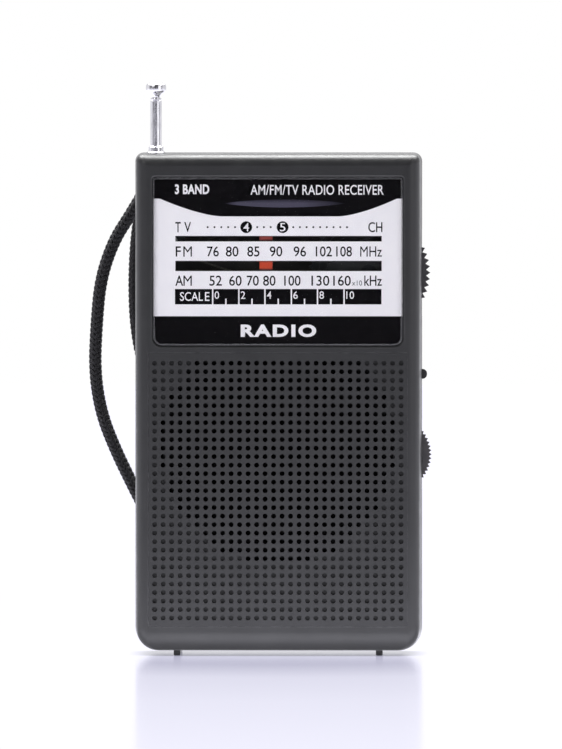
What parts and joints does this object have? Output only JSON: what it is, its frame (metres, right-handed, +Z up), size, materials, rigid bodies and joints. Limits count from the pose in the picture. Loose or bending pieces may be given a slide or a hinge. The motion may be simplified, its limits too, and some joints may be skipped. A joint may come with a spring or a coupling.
{
  "type": "transistor pocket radio",
  "caption": "Upright pocket radio with a telescopic antenna, slide-rule dial, perforated speaker grille, side thumbwheels and a braided wrist strap.",
  "frame": {"origin": "on the surface the radio stands on, under the middle of its width with the thumbwheels and of its depth", "axes": "+Z up along the antenna, +Y towards the back, +X towards the thumbwheel side"},
  "size_m": [0.085, 0.0346, 0.1408],
  "materials": {
    "case_plastic": "fine satin texture, charcoal grey",
    "black_plastic": "satin black",
    "wheel_plastic": "matte dark grey",
    "white_nylon": "natural nylon",
    "clear_plastic": "polished clear acrylic",
    "pointer_orange": "orange-red",
    "thread": "waxed dial cord",
    "chrome": "polished chrome plate",
    "steel": "zinc plated",
    "brass": "turned",
    "board": "dark phenolic board with copper tracks",
    "component": "lacquered",
    "copper": "enamelled copper wire",
    "ferrite": "sintered ferrite",
    "paper": "pressed paper pulp",
    "foam": "foam and felt",
    "battery_jacket": "printed jacket",
    "wire_jacket": "pvc",
    "strap": "black herringbone braid"
  },
  "bodies": {
    "root": {"front_shell": "case_plastic", "rear_shell": "case_plastic", "speaker_grille": "case_plastic", "foot_ribs": "case_plastic", "earphone_jack": "black_plastic", "dial_scale_plate": "black_plastic", "strap_ferrule": "black_plastic", "receiver_chip": "black_plastic", "band_switch_body": "black_plastic", "volume_control": "black_plastic", "tuning_capacitor": "white_nylon", "ferrite_clips": "white_nylon", "dial_lens": "clear_plastic", "dial_cord": "thread", "antenna_base_tube": "chrome", "pointer_rail": "steel", "idler_pin": "steel", "board_screws": "steel", "case_screws": "steel", "strap_pin": "steel", "speaker_frame": "steel", "speaker_yoke": "steel", "speaker_clamps": "steel", "battery_contacts": "steel", "battery_springs": "steel", "if_transformers": "steel", "antenna_clamp": "steel", "circuit_board": "board", "resistors": "component", "ceramic_capacitors": "component", "electrolytic_capacitors": "component", "air_coils": "copper", "ferrite_coil": "copper", "voice_coil": "copper", "ferrite_rod": "ferrite", "speaker_magnet": "ferrite", "speaker_cone": "paper", "speaker_dust_cap": "paper", "speaker_surround": "foam", "speaker_gasket": "foam", "battery_cells": "battery_jacket", "battery_leads": "wire_jacket", "speaker_leads": "wire_jacket", "strap_cord": "strap"},
    "tuning": {"tuning_wheel": "wheel_plastic", "tuning_drum": "black_plastic", "tuning_shaft": "brass", "tuning_screw": "steel"},
    "pointer": {"dial_pointer": "pointer_orange"},
    "idler": {"idler_pulley": "black_plastic"},
    "volume": {"volume_wheel": "wheel_plastic", "volume_shaft": "brass", "volume_screw": "steel"},
    "band_switch": {"band_switch_knob": "black_plastic"},
    "door": {"battery_door": "case_plastic"},
    "antenna_2": {"antenna_second_tube": "chrome"},
    "antenna_3": {"antenna_third_tube": "chrome"},
    "antenna_4": {"antenna_rod": "chrome", "antenna_tip": "chrome"}
  },
  "joints": [
    {"name": "tuning_turn", "type": "hinge", "parent": "root", "child": "tuning", "pos_m": [0.0213, 0, 0.0938], "axis": [0, 1, 0], "range_deg": [-72.9, 107.1]},
    {"name": "pointer_slide", "type": "slide", "parent": "root", "child": "pointer", "axis": [1, 0, 0], "range_m": [-0.01305, 0.01916]},
    {"name": "idler_turn", "type": "hinge", "parent": "root", "child": "idler", "pos_m": [-0.027, -0.006, 0.10158], "axis": [0, 1, 0], "range_deg": [-305, 448]},
    {"name": "volume_turn", "type": "hinge", "parent": "root", "child": "volume", "pos_m": [0.0272, 0, 0.0491], "axis": [0, 1, 0], "range_deg": [0, 300]},
    {"name": "band_switch_slide", "type": "slide", "parent": "root", "child": "band_switch", "axis": [0, 0, 1], "range_m": [-0.0025, 0]},
    {"name": "door_slide", "type": "slide", "parent": "root", "child": "door", "axis": [0, 0, -1], "range_m": [0, 0.036]},
    {"name": "antenna_2_slide", "type": "slide", "parent": "root", "child": "antenna_2", "axis": [0, 0, 1], "range_m": [0, 0.068]},
    {"name": "antenna_3_slide", "type": "slide", "parent": "antenna_2", "child": "antenna_3", "axis": [0, 0, 1], "range_m": [-0.0105, 0.057]},
    {"name": "antenna_4_slide", "type": "slide", "parent": "antenna_3", "child": "antenna_4", "axis": [0, 0, 1], "range_m": [0, 0.066]}
  ],
  "couplings": [
    {"joint": "pointer_slide", "follows": "tuning_turn", "m_per_rad": 0.010234},
    {"joint": "idler_turn", "follows": "tuning_turn", "ratio": 4.177}
  ]
}
